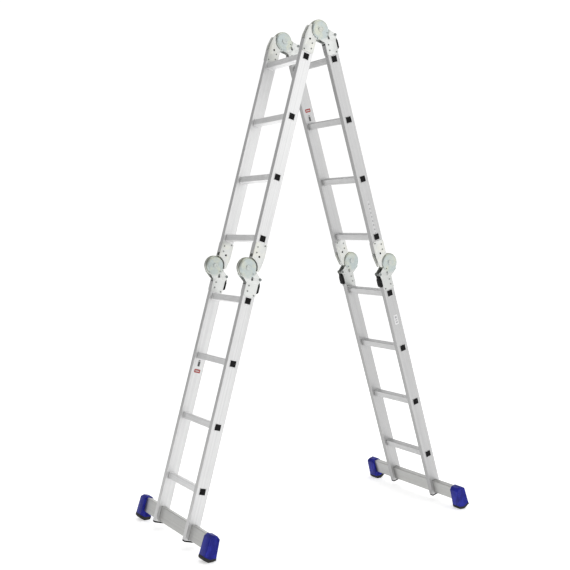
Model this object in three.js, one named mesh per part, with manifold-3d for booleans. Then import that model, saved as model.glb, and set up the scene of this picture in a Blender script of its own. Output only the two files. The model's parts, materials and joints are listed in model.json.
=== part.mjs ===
// A four-section folding ladder of aluminium box section, standing as a trestle.
// Two legs of two sections each meet at a pair of top hinges, and a pair of hinges joins the sections of
// each leg. A cross bar with plastic feet keeps each leg steady.
//
// The origin is on the floor, midway between the legs. +Z is up, +Y runs along the rungs and +X points from
// the front leg to the rear leg. Millimetres throughout.
import * as THREE from 'three';
import { mergeVertices } from 'three/addons/utils/BufferGeometryUtils.js';
import Module from 'manifold-3d';

const wasm = await Module();
wasm.setup();

// Ladder layout
const rungPitch = 280;
const rungsPerSection = 4;
const legLean = 16.1; // degrees from the vertical
const ladderWidth = 340; // over the stiles
const gap = 0.3; // between pieces that touch

// Box sections
const stileDepth = 60;
const stileThickness = 25;
const stileWall = 1.4;
const stileCorner = 2;
const rungSize = 30;
const rungWall = 1.4;
const rungCorner = 3;
const rungLength = 341.6;

// Cross bar and its feet, measured down the leg from the last rung
const barTop = 142;
const barHeight = 66;
const barDepth = 26;
const barWall = 1.8;
const barLength = 712;
const stileTail = 212;
const footTop = 137;
const footSole = 250;
const footDepth = 56;
const footInner = 312; // from the middle of the ladder
const footOuter = 364;
const footTaper = 4;
const footEdge = 8;

// Hinges, in the hinge's own frame: x from the pin to the section, z up, the section hanging down
const pinOffset = 38; // pin axis to the middle of the section
const armLength = 120;
const armPlate = 2.5;
const armTip = 6; // corners cut off the arms' ends
const armShoulder = -46; // where the inner arm starts to narrow
const shoulderRun = 11;
const coreRadius = 43.8;
const coreHalf = 4.8;
const webOuter = 53; // the inner arm's web lies between the cheeks' rims and this radius
const webStep = 0.5;
const rimRadius = 45;
const rimClearance = 1.8;
const plateauRadius = 39;
const dishDepth = 8;
const rimHalf = 5.4; // inner edge of the cheeks' rims
const innerArmStileEnd = 66;
const cheekStileEnd = 72;
const pinRadius = 8;
const pinHeadRadius = 13;
const pinHeadHeight = 2.6;
const spacer = { x: 20, z: -64, radius: 5 };
const lighteningHole = { x: 40.8, z: -59, radius: 4.8 };
const leverPin = { x: 70, z: -37, radius: 4, head: 6.5, ear: 8 };
const lockBar = { x: 30, z: -38, radius: 4 };
const slotClearance = 0.6;
const leverThrow = 12; // degrees
const leverPlate = 2.6;
const leverHalfWidth = 9;
const leverEnd = 6; // radius of the side plates' ends
const leverHeadHeight = 1.8;
const tabStart = 3; // past the stile's edge
const tabThickness = 2.4;
const tabEnd = -95;
const neckTop = -50; // where the cheeks' necks step in to the stile
const neckStep = 6;
const neckEnd = -62;
const gripNeckHalf = 10.5;
const gripHalfWidth = 14;
const gripStart = 0.6; // past the stile's edge
const gripProud = 11.5;
const gripTop = -46;
const gripStep = -58;
const gripBottom = -101;

// Worked out from the above
const lean = THREE.MathUtils.degToRad(legLean);
const stileHalf = stileDepth / 2;
const stileCentre = (ladderWidth - stileThickness) / 2;
const firstRung = rungPitch / 2;
const pinPitch = rungsPerSection * rungPitch;
const lastRung = 2 * pinPitch - firstRung;
const soleDown = lastRung + footSole;
const topPinHeight = soleDown * Math.cos(lean) - pinOffset * Math.sin(lean);
const armNear = pinOffset - stileHalf; // the stile's edge beside the pin
const armFar = pinOffset + stileHalf; // the stile's edge away from the pin
const innerPlate = stileThickness / 2 + gap; // inner face of the arm plates
const armOuter = innerPlate + armPlate;
const cheekInner = armOuter + gap; // inner face of the cheeks
const cheekOuter = cheekInner + armPlate;

const aluminium = () => new THREE.MeshStandardMaterial({ color: 0xdadcde, metalness: 1, roughness: 0.36 });
const zincSteel = () => new THREE.MeshStandardMaterial({ color: 0xc3c8bb, metalness: 1, roughness: 0.42 });
const blackPlastic = () => new THREE.MeshStandardMaterial({ color: 0x141416, metalness: 0, roughness: 0.5 });
const bluePlastic = () => new THREE.MeshStandardMaterial({ color: 0x23248c, metalness: 0, roughness: 0.45 });

// Solids ------------------------------------------------------------------------------------------------

function solidFrom(geometry) {
  const bare = geometry.clone();
  bare.deleteAttribute('normal');
  bare.deleteAttribute('uv');
  const merged = mergeVertices(bare, 1e-4);
  return new wasm.Manifold(new wasm.Mesh({
    numProp: 3,
    vertProperties: new Float32Array(merged.attributes.position.array),
    triVerts: new Uint32Array(merged.index.array),
  }));
}

function geometryFrom(solid) {
  const mesh = solid.getMesh();
  const geometry = new THREE.BufferGeometry();
  geometry.setAttribute('position', new THREE.BufferAttribute(mesh.vertProperties.slice(), 3));
  geometry.setIndex(new THREE.BufferAttribute(mesh.triVerts.slice(), 1));
  geometry.computeVertexNormals();
  return geometry;
}

// Extrudes a shape drawn in two axes along the third one: x over (y, z), y over (x, z), z over (x, y).
function prism(shape, axis, from, to, curveSegments = 3) {
  const geometry = new THREE.ExtrudeGeometry(shape, {
    depth: to - from,
    bevelEnabled: false,
    curveSegments,
  });
  const x = new THREE.Vector3(1, 0, 0);
  const y = new THREE.Vector3(0, 1, 0);
  const z = new THREE.Vector3(0, 0, 1);
  const turn = new THREE.Matrix4();
  if (axis === 'x') turn.makeBasis(y, z, x).setPosition(from, 0, 0);
  if (axis === 'y') turn.makeBasis(x, z, y.negate()).setPosition(0, to, 0);
  if (axis === 'z') turn.makeBasis(x, y, z).setPosition(0, 0, from);
  return solidFrom(geometry.applyMatrix4(turn));
}

function roundedRectangle(width, height, radius, x = 0) {
  const right = width / 2 - radius;
  const top = height / 2 - radius;
  const shape = new THREE.Shape();
  shape.absarc(x + right, top, radius, 0, Math.PI / 2);
  shape.absarc(x - right, top, radius, Math.PI / 2, Math.PI);
  shape.absarc(x - right, -top, radius, Math.PI, 1.5 * Math.PI);
  shape.absarc(x + right, -top, radius, 1.5 * Math.PI, 2 * Math.PI);
  shape.closePath();
  return shape;
}

function rectangle(left, bottom, right, top) {
  return new THREE.Shape([
    new THREE.Vector2(left, bottom),
    new THREE.Vector2(right, bottom),
    new THREE.Vector2(right, top),
    new THREE.Vector2(left, top),
  ]);
}

// Centred on the section's middle line, at a height.
function centredRectangle(width, height, z) {
  return rectangle(-width / 2, z - height / 2, width / 2, z + height / 2);
}

function disc(x, z, radius) {
  return new THREE.Shape().absarc(x, z, radius, 0, 2 * Math.PI);
}

// A round-ended link between two points.
function link(from, to, radius) {
  const along = Math.atan2(to.z - from.z, to.x - from.x);
  const shape = new THREE.Shape();
  shape.absarc(from.x, from.z, radius, along + Math.PI / 2, along + 1.5 * Math.PI);
  shape.absarc(to.x, to.z, radius, along - Math.PI / 2, along + Math.PI / 2);
  shape.closePath();
  return shape;
}

function boxTube(width, height, corner, wall) {
  const shape = roundedRectangle(width, height, corner);
  shape.holes.push(rectangle(wall - width / 2, wall - height / 2, width / 2 - wall, height / 2 - wall));
  return shape;
}

function bothSides(build) {
  return build(1).add(build(-1));
}

// A plate from one distance to another on either side of the hinge's middle plane.
function platePair(shape, near, far, curveSegments) {
  return bothSides((side) => prism(
    shape,
    'y',
    Math.min(side * near, side * far),
    Math.max(side * near, side * far),
    curveSegments,
  ));
}

// Angle at which a line from a point touches a circle round the pin, on one side of that point.
function tangentAngle(x, z, radius, side) {
  return Math.atan2(z, x) + side * Math.acos(radius / Math.hypot(x, z));
}

// Stiles, rungs and cross bar, in the leg's frame: x outward from the top pin, z up the leg ---------------

function rungPlaces(section) {
  return Array.from({ length: rungsPerSection }, (_, i) => firstRung + section * pinPitch + i * rungPitch);
}

function makeStile(section, top, bottom) {
  let stile = prism(boxTube(stileDepth, stileThickness, stileCorner, stileWall), 'z', -bottom, -top, 1);
  const reach = stileThickness;
  for (const down of rungPlaces(section)) {
    const window = centredRectangle(rungSize + 2 * gap, rungSize + 2 * gap, -down);
    stile = stile.subtract(prism(window, 'y', -reach, reach));
  }
  if (section === 1) {
    const middle = -(lastRung + barTop + barHeight / 2);
    const window = centredRectangle(barDepth + 2 * gap, barHeight + 2 * gap, middle);
    stile = stile.subtract(prism(window, 'y', -reach, reach));
  }
  return geometryFrom(stile.translate([pinOffset, 0, 0]));
}

function makeRung() {
  const rung = prism(
    boxTube(rungSize, rungSize, rungCorner, rungWall),
    'y',
    -rungLength / 2,
    rungLength / 2,
    1,
  );
  return geometryFrom(rung);
}

function makeBar() {
  const bar = prism(boxTube(barDepth, barHeight, rungCorner, barWall), 'y', -barLength / 2, barLength / 2, 1);
  return geometryFrom(bar);
}

// A foot fits over the bar's end. Its sole is a shallow ridge, so that one half of it lies flat on the floor
// whichever way the leg leans, and its outer edges turn up. side is +1 or -1 along y.
function makeFoot(side) {
  const half = footDepth / 2;
  const slope = Math.tan(lean);
  const sole = (x) => -footSole + slope * Math.abs(x);
  const neck = half - footTaper;
  const edge = footEdge;
  const corner = 1.5 * footEdge;
  const turnUp = 2 * footEdge;
  const outline = new THREE.Shape();
  outline.moveTo(-neck, -footTop - corner);
  outline.lineTo(corner - neck, -footTop);
  outline.lineTo(neck - corner, -footTop);
  outline.lineTo(neck, -footTop - corner);
  outline.lineTo(half, sole(half) + turnUp);
  outline.quadraticCurveTo(half, sole(half), half - edge, sole(half - edge));
  outline.lineTo(0, sole(0));
  outline.lineTo(edge - half, sole(edge - half));
  outline.quadraticCurveTo(-half, sole(-half), -half, sole(-half) + turnUp);
  outline.closePath();

  const low = sole(0);
  const inner = side * footInner;
  const outer = side * footOuter;
  const front = new THREE.Shape();
  front.moveTo(inner, -footTop - edge);
  front.lineTo(inner + side * edge / 2, -footTop);
  front.lineTo(outer - side * edge, -footTop);
  front.quadraticCurveTo(outer, -footTop, outer, -footTop - edge);
  front.lineTo(outer, low + turnUp);
  front.quadraticCurveTo(outer, low, outer - side * turnUp, low);
  front.lineTo(inner, low);
  front.closePath();

  const pocketEnd = barLength / 2 + gap;
  const pocket = centredRectangle(barDepth + 2 * gap, barHeight + 2 * gap, -barTop - barHeight / 2);
  const foot = prism(outline, 'y', Math.min(inner, outer) - 1, Math.max(inner, outer) + 1, 4)
    .intersect(prism(front, 'x', -footDepth, footDepth, 5))
    .subtract(prism(pocket, 'y', -pocketEnd, pocketEnd));
  return geometryFrom(foot);
}

// Hinge pieces --------------------------------------------------------------------------------------------

// The inner arm: a core disc that turns between the cheeks, a web across its edge and a plate on each face
// of the stile, shouldered on the side away from the pin.
function makeInnerArm() {
  const shoulderTop = 6;
  const start = Math.asin(shoulderTop / coreRadius);
  const end = 2 * Math.PI - Math.acos(armNear / coreRadius);
  const whole = new THREE.Shape();
  whole.moveTo(armNear + armTip, -armLength);
  whole.lineTo(armFar - armTip, -armLength);
  whole.lineTo(armFar, -armLength + armTip);
  whole.lineTo(armFar, armShoulder);
  whole.lineTo(armFar - shoulderRun, shoulderTop);
  whole.absarc(0, 0, coreRadius, start, end);
  whole.lineTo(armNear, -armLength + armTip);
  whole.closePath();
  const slab = (shape, half, segments = 10) => prism(shape, 'y', -half, half, segments);
  const rims = slab(disc(0, 0, rimRadius + rimClearance), armOuter + 1);
  const outsideRims = slab(whole, armOuter).subtract(rims);
  const hole = disc(lighteningHole.x, lighteningHole.z, lighteningHole.radius);
  const arm = slab(whole, coreHalf)
    .intersect(slab(disc(0, 0, webOuter), coreHalf))
    .add(outsideRims.intersect(slab(disc(0, 0, webOuter - webStep), armOuter)))
    .add(outsideRims.subtract(slab(whole, innerPlate)))
    .subtract(slab(hole, armOuter, 6))
    .subtract(slab(disc(0, 0, pinRadius + gap), armOuter, 8));
  return geometryFrom(arm);
}

// The slot that the lock bar travels in when the lever is pulled.
function lockSlot() {
  const x = lockBar.x - leverPin.x;
  const z = lockBar.z - leverPin.z;
  const radius = Math.hypot(x, z);
  const half = lockBar.radius + slotClearance;
  const start = Math.atan2(z, x);
  const end = start + THREE.MathUtils.degToRad(leverThrow + 1);
  const at = (angle) => [leverPin.x + radius * Math.cos(angle), leverPin.z + radius * Math.sin(angle)];
  const slot = new THREE.Shape();
  slot.absarc(leverPin.x, leverPin.z, radius + half, start, end);
  slot.absarc(...at(end), half, end, end + Math.PI);
  slot.absarc(leverPin.x, leverPin.z, radius - half, end, start, true);
  slot.absarc(...at(start), half, start - Math.PI, start);
  slot.closePath();
  return slot;
}

// One dished shell over the core disc, on the side that side gives.
function makeDish(side) {
  const wall = armPlate;
  const half = [
    [0, cheekOuter],
    [plateauRadius, cheekOuter],
    [rimRadius, cheekOuter - dishDepth],
    [rimRadius, rimHalf],
    [rimRadius - wall, rimHalf],
    [plateauRadius - wall / 2, cheekInner],
    [0, cheekInner],
  ];
  const ordered = side > 0 ? half.reverse() : half;
  const profile = ordered.map(([r, y]) => new THREE.Vector2(r, side * y));
  return solidFrom(new THREE.LatheGeometry(profile, 24));
}

// The outer arm: two dished cheeks that hold the pins. Their necks step in to lie on the stile, with a
// spacer between them.
function makeOuterArm() {
  const neckRadius = rimRadius - 1;
  const top = THREE.MathUtils.degToRad(-12);
  const end = 2 * Math.PI + tangentAngle(armNear, neckEnd, neckRadius, -1);
  const earTurn = THREE.MathUtils.degToRad(55);
  const outline = new THREE.Shape();
  outline.moveTo(armNear + armTip, -armLength);
  outline.lineTo(armFar - armTip, -armLength);
  outline.lineTo(armFar, -armLength + armTip);
  outline.lineTo(armFar, neckEnd);
  outline.absarc(leverPin.x, leverPin.z, leverPin.ear, -earTurn, 2 * earTurn);
  outline.absarc(0, 0, neckRadius, top, end);
  outline.lineTo(armNear, neckEnd);
  outline.lineTo(armNear, -armLength + armTip);
  outline.closePath();

  const high = rimRadius + 1;
  const low = -armLength - 1;
  const stepped = (side) => prism(new THREE.Shape([
    new THREE.Vector2(side * cheekInner, high),
    new THREE.Vector2(side * cheekInner, neckTop),
    new THREE.Vector2(side * innerPlate, neckTop - neckStep),
    new THREE.Vector2(side * innerPlate, low),
    new THREE.Vector2(side * armOuter, low),
    new THREE.Vector2(side * armOuter, neckTop - 2 * neckStep),
    new THREE.Vector2(side * cheekOuter, neckTop - neckStep),
    new THREE.Vector2(side * cheekOuter, high),
  ]), 'x', -rimRadius - 1, armFar + 2 * leverPin.ear);
  const necks = prism(outline, 'y', -cheekOuter - 1, cheekOuter + 1, 8).intersect(bothSides(stepped));
  const through = (shape, segments) => prism(shape, 'y', -cheekOuter - 1, cheekOuter + 1, segments);
  const leverRoom = rectangle(
    lockBar.x - 3 * lockBar.radius,
    neckTop,
    armFar,
    leverPin.z + 2 * leverHalfWidth,
  );
  const arm = bothSides(makeDish)
    .subtract(prism(leverRoom, 'y', -cheekInner, cheekInner))
    .add(necks)
    .add(prism(disc(spacer.x, spacer.z, spacer.radius), 'y', -innerPlate - 1, innerPlate + 1, 4))
    .subtract(through(disc(0, 0, pinRadius + gap), 8))
    .subtract(through(disc(leverPin.x, leverPin.z, leverPin.radius + gap), 4))
    .subtract(through(lockSlot(), 2));
  return geometryFrom(arm);
}

function makePin() {
  const head = cheekOuter + gap;
  const crown = head + pinHeadHeight;
  const half = [
    [pinRadius, head],
    [pinHeadRadius, head],
    [pinHeadRadius - pinHeadHeight, crown],
    [0, crown],
  ];
  const profile = [
    ...half.slice().reverse().map(([r, y]) => new THREE.Vector2(r, -y)),
    ...half.map(([r, y]) => new THREE.Vector2(r, y)),
  ];
  return geometryFrom(solidFrom(new THREE.LatheGeometry(profile, 16)));
}

// One bent steel lever: two side plates on the lever pin, the lock bar at their short end and a flat tab
// down the stile's edge at their long end.
function makeLever() {
  const inside = leverHalfWidth - leverPlate;
  const tabInner = armFar + tabStart;
  const tabOuter = tabInner + tabThickness;
  const headFace = cheekOuter + gap;
  const lever = platePair(link(lockBar, leverPin, leverEnd), inside, leverHalfWidth, 2)
    .add(prism(rectangle(tabInner, tabEnd, tabOuter, leverPin.z), 'y', -leverHalfWidth, leverHalfWidth))
    .add(prism(disc(lockBar.x, lockBar.z, lockBar.radius), 'y', gap - cheekOuter, cheekOuter - gap, 4))
    .add(prism(disc(leverPin.x, leverPin.z, leverPin.radius), 'y', -headFace - 1, headFace + 1, 4))
    .add(platePair(disc(leverPin.x, leverPin.z, leverPin.head), headFace, headFace + leverHeadHeight, 5));
  return geometryFrom(lever);
}

// The moulded grip slides over the lever's tab. It widens below a narrow neck and is open at the top.
function makeGrip() {
  const inner = armFar + gripStart;
  const taper = 2;
  const corner = 4;
  const outer = armFar + gripProud;
  const outline = new THREE.Shape([
    new THREE.Vector2(inner, gripBottom),
    new THREE.Vector2(outer - taper - corner, gripBottom),
    new THREE.Vector2(outer - taper, gripBottom + corner),
    new THREE.Vector2(outer, gripStep - 2 * corner),
    new THREE.Vector2(outer - taper, gripTop),
    new THREE.Vector2(inner, gripTop),
  ]);
  const face = new THREE.Shape([
    new THREE.Vector2(-gripHalfWidth + corner, gripBottom),
    new THREE.Vector2(gripHalfWidth - corner, gripBottom),
    new THREE.Vector2(gripHalfWidth, gripBottom + corner),
    new THREE.Vector2(gripHalfWidth, gripStep - corner),
    new THREE.Vector2(gripNeckHalf, gripStep),
    new THREE.Vector2(gripNeckHalf, gripTop),
    new THREE.Vector2(-gripNeckHalf, gripTop),
    new THREE.Vector2(-gripNeckHalf, gripStep),
    new THREE.Vector2(-gripHalfWidth, gripStep - corner),
    new THREE.Vector2(-gripHalfWidth, gripBottom + corner),
  ]);
  const tab = armFar + tabStart;
  const pocket = rectangle(tab - gap, tabEnd - gap, tab + tabThickness + gap, gripTop + 1);
  const pocketHalf = leverHalfWidth + gap;
  const grip = prism(outline, 'y', -gripHalfWidth, gripHalfWidth)
    .intersect(prism(face, 'x', armFar, outer + 1))
    .subtract(prism(pocket, 'y', -pocketHalf, pocketHalf));
  return geometryFrom(grip);
}

// Assembly ------------------------------------------------------------------------------------------------

const ladder = new THREE.Group();

function addPiece(parent, name, geometry, material, x = 0, y = 0, z = 0) {
  const mesh = new THREE.Mesh(geometry, material);
  mesh.name = name;
  mesh.position.set(x, y, z);
  parent.add(mesh);
}

// Each leg hangs from the top pin and leans outward. The front leg is the rear one turned round.
function makeLeg(turn) {
  const facing = new THREE.Group();
  facing.rotation.z = turn;
  facing.position.z = topPinHeight;
  const leg = new THREE.Group();
  leg.rotation.y = -lean;
  facing.add(leg);
  ladder.add(facing);
  return leg;
}

const innerArm = makeInnerArm();
const outerArm = makeOuterArm();
const pin = makePin();
const lever = makeLever();
const grip = makeGrip();
const rung = makeRung();
const bar = makeBar();
const lowerStile = makeStile(1, pinPitch + cheekStileEnd, lastRung + stileTail);

function addHingeCheeks(frame, name) {
  addPiece(frame, `${name}_outer_arm`, outerArm, zincSteel());
  addPiece(frame, `${name}_pivot_pin`, pin, zincSteel());
  addPiece(frame, `${name}_release_lever`, lever, zincSteel());
  addPiece(frame, `${name}_lever_grip`, grip, blackPlastic());
}

function hingeFrame(leg, x, y, z, turnY = 0, turnZ = 0) {
  const frame = new THREE.Group();
  frame.position.set(x, y, z);
  frame.rotation.set(0, turnY, turnZ);
  leg.add(frame);
  return frame;
}

for (const legName of ['front', 'rear']) {
  const front = legName === 'front';
  const leg = makeLeg(front ? Math.PI : 0);
  const upperTop = front ? innerArmStileEnd : cheekStileEnd;
  const upperStile = makeStile(0, upperTop, pinPitch - innerArmStileEnd);
  for (const sideName of ['left', 'right']) {
    // left is +Y in the ladder's frame, and the front leg's own y runs the other way
    const side = (sideName === 'left') === front ? -1 : 1;
    const y = side * stileCentre;
    addPiece(leg, `${legName}_upper_stile_${sideName}`, upperStile, aluminium(), 0, y, 0);
    addPiece(leg, `${legName}_lower_stile_${sideName}`, lowerStile, aluminium(), 0, y, 0);
    addPiece(leg, `${legName}_foot_${sideName}`, makeFoot(side), bluePlastic(), pinOffset, 0, -lastRung);

    const topFrame = hingeFrame(leg, 0, y, 0);
    if (front) addPiece(topFrame, `top_${sideName}_inner_arm`, innerArm, zincSteel());
    else addHingeCheeks(topFrame, `top_${sideName}`);
    const above = hingeFrame(leg, 2 * pinOffset, y, -pinPitch, Math.PI, 0);
    addPiece(above, `${legName}_${sideName}_inner_arm`, innerArm, zincSteel());
    addHingeCheeks(hingeFrame(leg, 2 * pinOffset, y, -pinPitch, 0, Math.PI), `${legName}_${sideName}`);
  }
  ['upper', 'lower'].forEach((sectionName, section) => {
    rungPlaces(section).forEach((down, i) => {
      addPiece(leg, `${legName}_${sectionName}_rung_${i + 1}`, rung, aluminium(), pinOffset, 0, -down);
    });
  });
  addPiece(
    leg,
    `${legName}_stabiliser_bar`,
    bar,
    aluminium(),
    pinOffset,
    0,
    -lastRung - barTop - barHeight / 2,
  );
}

export default ladder;
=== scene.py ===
import json
import math

import bmesh
import bpy
from mathutils import Matrix, Vector


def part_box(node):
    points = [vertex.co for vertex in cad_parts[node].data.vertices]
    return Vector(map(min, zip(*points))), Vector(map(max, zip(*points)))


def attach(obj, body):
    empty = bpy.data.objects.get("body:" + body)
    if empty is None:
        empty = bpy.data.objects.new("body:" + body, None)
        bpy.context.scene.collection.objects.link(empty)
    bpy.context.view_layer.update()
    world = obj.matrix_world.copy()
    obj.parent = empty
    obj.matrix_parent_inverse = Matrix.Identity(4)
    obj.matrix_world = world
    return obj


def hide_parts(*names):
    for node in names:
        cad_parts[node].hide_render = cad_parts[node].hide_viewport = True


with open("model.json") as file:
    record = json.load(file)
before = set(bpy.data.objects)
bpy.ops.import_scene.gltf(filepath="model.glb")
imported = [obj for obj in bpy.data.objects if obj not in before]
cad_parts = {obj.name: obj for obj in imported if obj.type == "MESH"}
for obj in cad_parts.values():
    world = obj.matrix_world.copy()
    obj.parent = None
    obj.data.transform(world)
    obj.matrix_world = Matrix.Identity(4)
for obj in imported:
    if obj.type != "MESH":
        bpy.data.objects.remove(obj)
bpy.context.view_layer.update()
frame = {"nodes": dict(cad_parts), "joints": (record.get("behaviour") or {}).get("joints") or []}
print("frame: loaded", len(frame["nodes"]), "parts")


# where things are

# metres, in the leg's own frame: x away from the top pin, y along the rungs, z up the leg
ladder = {
    "pinOffset": 0.038,  # from a hinge pin to the middle of the section
    "rungsPerSection": 4,
    "stileThickness": 0.025,
    "stileTail": 0.212,  # stile past the last rung
    "cheekSide": 0.0181,  # outer face of the hinge, from the stile's middle
    "cheekInside": 0.0156,
    "armOutside": 0.0153,
    "armInside": 0.0128,
    "leverPin": (0.070, -0.037),
    "lockBar": (0.030, -0.038),
}


def middle(node):
    low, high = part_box(node)
    return (low + high) / 2


topPin = Vector(next(j["pos_m"] for j in frame["joints"] if j["name"] == "top_fold"))
rungRun = middle("rear_lower_rung_4") - middle("rear_upper_rung_1")
lean = math.atan2(rungRun.x, -rungRun.z)
rungPitch = rungRun.length / (2 * ladder["rungsPerSection"] - 1)
pinPitch = rungPitch * ladder["rungsPerSection"]
stileSide = abs(middle("front_upper_stile_left").y)


def turned(degrees, axis):
    return Matrix.Rotation(math.radians(degrees), 4, axis)


def moved(x, y, z):
    return Matrix.Translation((x, y, z))


def legPlace(leg):
    facing = turned(180, "Z") if leg == "front" else Matrix.Identity(4)
    return Matrix.Translation(topPin) @ facing @ turned(-math.degrees(lean), "Y")


def sideway(leg, side):
    # which way left (+Y) lies in the leg's own frame
    return (1 if side == "left" else -1) * (-1 if leg == "front" else 1)


def cheekPlace(hingeName, side):
    if hingeName == "top":
        return legPlace("rear") @ moved(0, sideway("rear", side) * stileSide, 0)
    across = sideway(hingeName, side) * stileSide
    return legPlace(hingeName) @ moved(2 * ladder["pinOffset"], across, -pinPitch) @ turned(180, "Z")


def innerArmPlace(hingeName, side):
    if hingeName == "top":
        return legPlace("front") @ moved(0, sideway("front", side) * stileSide, 0)
    across = sideway(hingeName, side) * stileSide
    return legPlace(hingeName) @ moved(2 * ladder["pinOffset"], across, -pinPitch) @ turned(180, "Y")


# finishes


class Wire:
    # one value running through a finish, so that sums are written as sums
    def __init__(self, finish, socket):
        self.finish = finish
        self.socket = socket

    def __add__(self, other):
        return self.finish.sum("ADD", self, other)

    def __radd__(self, other):
        return self.finish.sum("ADD", other, self)

    def __sub__(self, other):
        return self.finish.sum("SUBTRACT", self, other)

    def __rsub__(self, other):
        return self.finish.sum("SUBTRACT", other, self)

    def __mul__(self, other):
        return self.finish.sum("MULTIPLY", self, other)

    def __rmul__(self, other):
        return self.finish.sum("MULTIPLY", other, self)

    def __truediv__(self, other):
        return self.finish.sum("DIVIDE", self, other)

    def __rtruediv__(self, other):
        return self.finish.sum("DIVIDE", other, self)

    def __pow__(self, other):
        return self.finish.sum("POWER", self, other)

    def clip(self, low, high):
        # 0 below low, 1 above high, soft in between
        return self.finish.node(
            "MapRange",
            {"interpolation_type": "SMOOTHSTEP"},
            {"Value": self, "From Min": low, "From Max": high},
        )


class Finish:
    def __init__(self, name, **fixed):
        self.material = bpy.data.materials.new(name)
        self.material.use_nodes = True
        self.tree = self.material.node_tree
        self.tree.nodes.clear()
        self.shader = self.tree.nodes.new("ShaderNodeBsdfPrincipled")
        output = self.tree.nodes.new("ShaderNodeOutputMaterial")
        self.tree.links.new(self.shader.outputs[0], output.inputs["Surface"])
        for name, value in fixed.items():
            self.shader.inputs[name.replace("_", " ")].default_value = value

    def node(self, kind, settings=None, values=None, out=0):
        made = self.tree.nodes.new("ShaderNode" + kind)
        for name, value in (settings or {}).items():
            setattr(made, name, value)
        for name, value in (values or {}).items():
            if isinstance(value, Wire):
                self.tree.links.new(value.socket, made.inputs[name])
            else:
                made.inputs[name].default_value = value
        return Wire(self, made.outputs[out])

    def sum(self, operation, first, second):
        return self.node("Math", {"operation": operation}, {0: first, 1: second})

    def grid(self, turn=(0, 0, 0), stretch=(1, 1, 1), shift=(0, 0, 0)):
        # a place on the piece, turned first and then drawn out along its axes
        place = self.node("TexCoord", out=3)
        return self.node(
            "Mapping",
            {"vector_type": "TEXTURE"},
            {"Vector": place, "Rotation": turn, "Scale": stretch, "Location": shift},
        )

    def noise(self, place, scale=1.0, detail=2.0, roughness=0.5, distortion=0.0):
        return self.node(
            "TexNoise",
            None,
            {
                "Vector": place,
                "Scale": scale,
                "Detail": detail,
                "Roughness": roughness,
                "Distortion": distortion,
            },
        )

    def cells(self, place, scale=1.0):
        return self.node("TexVoronoi", None, {"Vector": place, "Scale": scale})

    def tint(self, mask, first, second, blend="MIX"):
        return self.node(
            "Mix",
            {"data_type": "RGBA", "blend_type": blend},
            {0: mask, 6: self.colour(first), 7: self.colour(second)},
            2,
        )

    def colour(self, value):
        return value if isinstance(value, Wire) else (*value, 1)

    def bump(self, height, depth, strength=1.0, under=None):
        values = {"Height": height, "Distance": depth, "Strength": strength}
        if under:
            values["Normal"] = under
        return self.node("Bump", None, values)

    def wear(self, **inputs):
        for name, wire in inputs.items():
            self.tree.links.new(wire.socket, self.shader.inputs[name.replace("_", " ")])
        return self.material


def drawnAluminium(name, turn, light, dark, along, narrowFaceShade, edgeWay):
    finish = Finish(name, Metallic=1.0)
    stretchBy = {"z": (0.00035, 0.00035, 0.12), "y": (0.00035, 0.12, 0.00035)}[along]
    bandBy = {"z": (0.004, 0.004, 1.4), "y": (0.004, 1.4, 0.004)}[along]
    grain = finish.noise(finish.grid(turn, stretchBy), 1.0, 3.0, 0.6)
    dieLine = finish.noise(finish.grid(turn, bandBy), 1.0, 2.0, 0.5)
    cloud = finish.noise(finish.grid(turn, (0.05, 0.05, 0.11)), 1.0, 4.0, 0.55, 0.4)
    rubPlace = finish.grid((0.5, 0.9, 0.3), (0.0012, 0.03, 0.0012))
    rub = finish.noise(rubPlace, 1.0, 2.0, 0.5, 1.2).clip(0.66, 0.74)
    nickPlace = finish.grid((1.1, 0.2, 0.7), (0.0009, 0.0009, 0.018))
    nick = finish.noise(nickPlace, 1.0, 1.0, 0.4, 0.6).clip(0.70, 0.76)
    speck = 1 - finish.cells(finish.grid(), 340.0).clip(0.02, 0.10)
    shade = (grain * 0.35 + dieLine * 0.4 + cloud * 0.25).clip(0.34, 0.66)
    base = finish.tint(shade, dark, light)
    # painted shade: the narrow faces are painted darker than the wide ones, by the tone given for them
    facing = finish.node("TexCoord", out=1)
    narrow = finish.node("VectorMath", {"operation": "DOT_PRODUCT"}, {0: facing, 1: edgeWay}, 1)
    base = finish.tint((narrow * narrow).clip(0.5, 0.9), base, [narrowFaceShade] * 3, "MULTIPLY")
    base = finish.tint(rub * 0.30, base, (0.93, 0.935, 0.94))
    marks = (nick * 0.55 + speck * cloud.clip(0.5, 0.7) * 0.5).clip(0.0, 1.0)
    base = finish.tint(marks, base, (0.50, 0.505, 0.51))
    rough = 0.33 + grain * 0.10 + cloud * 0.12 - rub * 0.08
    relief = finish.bump(grain, 0.00006, 0.6)
    relief = finish.bump(dieLine, 0.00012, 0.5, relief)
    relief = finish.bump(1 - nick - rub * 0.3, 0.00005, 0.6, relief)
    return finish.wear(Base_Color=base, Roughness=rough, Normal=relief)


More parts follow.
